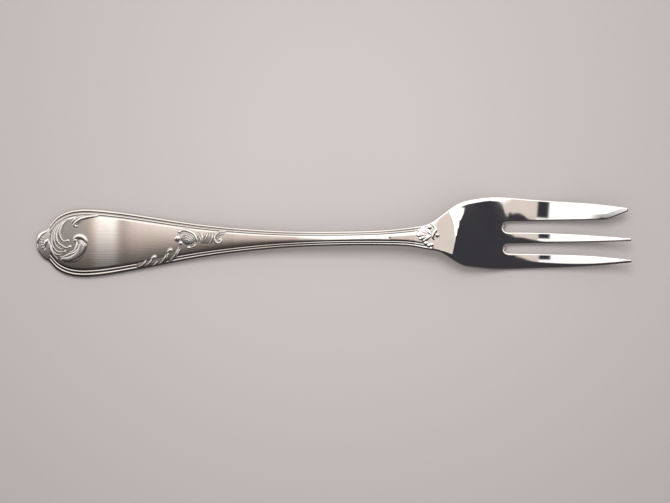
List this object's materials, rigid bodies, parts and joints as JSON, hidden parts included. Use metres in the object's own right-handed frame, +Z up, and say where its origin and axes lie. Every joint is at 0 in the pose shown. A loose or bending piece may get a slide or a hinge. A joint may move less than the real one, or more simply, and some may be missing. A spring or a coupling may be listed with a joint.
{
  "type": "pastry fork",
  "caption": "Pastry fork with a wide bevelled cutting tine, a flared handle with a thread border, rococo scroll and leaf relief, and a shell at the neck.",
  "frame": {"origin": "centre of the bounding box on the table plane", "axes": "+X from the handle's end to the tine tips, +Y to the cutting tine's side, +Z up from the table"},
  "size_m": [0.15, 0.0186, 0.0068],
  "materials": {
    "satin_silver": "satin, brushed lengthwise",
    "polished_silver": "polished"
  },
  "bodies": {
    "root": {"end_crest": "polished_silver", "handle": "satin_silver", "end_scroll": "polished_silver", "frond_spray": "polished_silver", "side_curl": "polished_silver", "edge_leaves": "polished_silver", "leaf_spray": "polished_silver", "stem": "satin_silver", "neck_shell": "polished_silver", "palm": "polished_silver", "cutting_tine": "polished_silver", "middle_tine": "polished_silver", "plain_tine": "polished_silver"}
  },
  "joints": []
}
